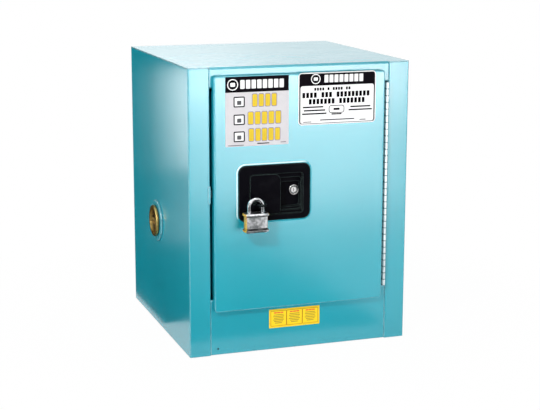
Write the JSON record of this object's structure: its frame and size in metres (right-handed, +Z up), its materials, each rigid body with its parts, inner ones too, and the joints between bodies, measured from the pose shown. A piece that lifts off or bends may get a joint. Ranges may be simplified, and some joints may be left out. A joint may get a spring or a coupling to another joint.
{
  "type": "countertop corrosives safety cabinet",
  "caption": "A teal countertop safety cabinet for acids and corrosives, with double walls, one piano-hinged door, a recessed paddle latch, a hanging padlock, side vents, a shelf and a tray.",
  "frame": {"origin": "the middle of the cabinet's footprint, on the plane the base stands on", "axes": "+Z is up, the door faces -Y, and +X is to the right of a person who faces the door"},
  "size_m": [0.4522, 0.4778, 0.54],
  "materials": {
    "cabinet_paint": "semi-gloss powder coat, teal",
    "door_paint": "semi-gloss powder coat, teal",
    "latch_black": "gloss black coating",
    "lock_chrome": "polished chrome plate",
    "zinc_steel": "bright zinc plate",
    "padlock_steel": "bright plated steel",
    "plug_brass": "yellow passivated metal",
    "vent_rubber": "matte black rubber",
    "tray_poly": "natural polyethylene"
  },
  "bodies": {
    "cabinet": {"side_panel_left": "cabinet_paint", "side_panel_right": "cabinet_paint", "top_panel": "cabinet_paint", "sill_panel": "cabinet_paint", "bottom_panel": "cabinet_paint", "back_panel": "cabinet_paint", "liner_side_left": "cabinet_paint", "liner_side_right": "cabinet_paint", "liner_back": "cabinet_paint", "liner_top": "cabinet_paint", "liner_sump": "cabinet_paint", "strike_plate": "cabinet_paint", "vent_collar_left": "cabinet_paint", "vent_collar_right": "cabinet_paint", "vent_screen_left": "zinc_steel", "vent_screen_right": "zinc_steel", "shelf_rail_left": "zinc_steel", "shelf_rail_right": "zinc_steel", "hinge_frame_leaf": "cabinet_paint", "hinge_pin": "zinc_steel"},
    "door": {"hinge_door_leaf": "door_paint", "door_skin": "door_paint", "door_inner_pan": "door_paint", "latch_dish": "latch_black", "paddle_pin": "zinc_steel", "paddle_spring": "zinc_steel", "hasp_staple": "latch_black", "lock_barrel": "lock_chrome", "cam_stud": "zinc_steel", "bolt_guide": "zinc_steel", "top_rod_guide": "zinc_steel", "bottom_rod_guide": "zinc_steel"},
    "paddle": {"latch_paddle": "latch_black"},
    "key": {"key_plug": "lock_chrome"},
    "cam": {"latch_cam": "zinc_steel"},
    "bolt": {"side_bolt": "zinc_steel"},
    "upper_rod": {"top_rod": "zinc_steel"},
    "lower_rod": {"bottom_rod": "zinc_steel"},
    "padlock": {"padlock_body": "padlock_steel"},
    "shackle": {"padlock_shackle": "padlock_steel"},
    "gasket_left": {"vent_gasket_left": "vent_rubber"},
    "plug_left": {"vent_plug_left": "plug_brass"},
    "gasket_right": {"vent_gasket_right": "vent_rubber"},
    "plug_right": {"vent_plug_right": "plug_brass"},
    "shelf": {"shelf": "zinc_steel"},
    "tray": {"shelf_tray": "tray_poly"}
  },
  "joints": [
    {"name": "door_hinge", "type": "hinge", "parent": "cabinet", "child": "door", "pos_m": [0.16985, -0.222, 0.305], "axis": [0, 0, 1], "range_deg": [0, 175]},
    {"name": "paddle_pull", "type": "hinge", "parent": "door", "child": "paddle", "pos_m": [-0.0992, -0.2228, 0.3036], "axis": [0, 0, -1], "range_deg": [0, 15], "stiffness_Nm_per_rad": 0.3, "springref_deg": -5.73},
    {"name": "cam_turn", "type": "hinge", "parent": "door", "child": "cam", "pos_m": [-0.0534, -0.2018, 0.2867], "axis": [0, 1, 0], "range_deg": [0, 14]},
    {"name": "bolt_slide", "type": "slide", "parent": "door", "child": "bolt", "axis": [1, 0, 0], "range_m": [0, 0.0048]},
    {"name": "top_rod_slide", "type": "slide", "parent": "door", "child": "upper_rod", "axis": [0, 0, -1], "range_m": [0, 0.0058]},
    {"name": "bottom_rod_slide", "type": "slide", "parent": "door", "child": "lower_rod", "axis": [0, 0, 1], "range_m": [0, 0.0058]},
    {"name": "key_turn", "type": "hinge", "parent": "door", "child": "key", "pos_m": [-0.0124, -0.2103, 0.3067], "axis": [0, -1, 0], "range_deg": [0, 90]},
    {"name": "padlock_swing", "type": "hinge", "parent": "door", "child": "padlock", "pos_m": [-0.0858, -0.2493, 0.2888], "axis": [0, 0, 1], "range_deg": [0, 60]},
    {"name": "shackle_lift", "type": "slide", "parent": "padlock", "child": "shackle", "axis": [0, 0, 1], "range_m": [0, 0.012]},
    {"name": "vent_slide_left", "type": "slide", "parent": "cabinet", "child": "gasket_left", "axis": [-1, 0, 0], "range_m": [0, 0.0155]},
    {"name": "vent_turn_left", "type": "hinge", "parent": "gasket_left", "child": "plug_left", "pos_m": [-0.216, 0.015, 0.214], "axis": [-1, 0, 0], "range_deg": [0, 2160]},
    {"name": "vent_slide_right", "type": "slide", "parent": "cabinet", "child": "gasket_right", "axis": [1, 0, 0], "range_m": [0, 0.0155]},
    {"name": "vent_turn_right", "type": "hinge", "parent": "gasket_right", "child": "plug_right", "pos_m": [0.216, 0.015, 0.214], "axis": [1, 0, 0], "range_deg": [0, 2160]},
    {"name": "shelf_lift", "type": "slide", "parent": "cabinet", "child": "shelf", "axis": [0, 0, 1], "range_m": [0, 0.025]},
    {"name": "tray_lift", "type": "slide", "parent": "shelf", "child": "tray", "axis": [0, 0, 1], "range_m": [0, 0.05]}
  ],
  "couplings": [
    {"joint": "cam_turn", "follows": "paddle_pull", "ratio": 0.9},
    {"joint": "bolt_slide", "follows": "paddle_pull", "m_per_rad": 0.018},
    {"joint": "top_rod_slide", "follows": "paddle_pull", "m_per_rad": 0.0216},
    {"joint": "bottom_rod_slide", "follows": "paddle_pull", "m_per_rad": 0.0216},
    {"joint": "vent_slide_left", "follows": "vent_turn_left", "m_per_rad": 0.00039789},
    {"joint": "vent_slide_right", "follows": "vent_turn_right", "m_per_rad": 0.00039789}
  ]
}
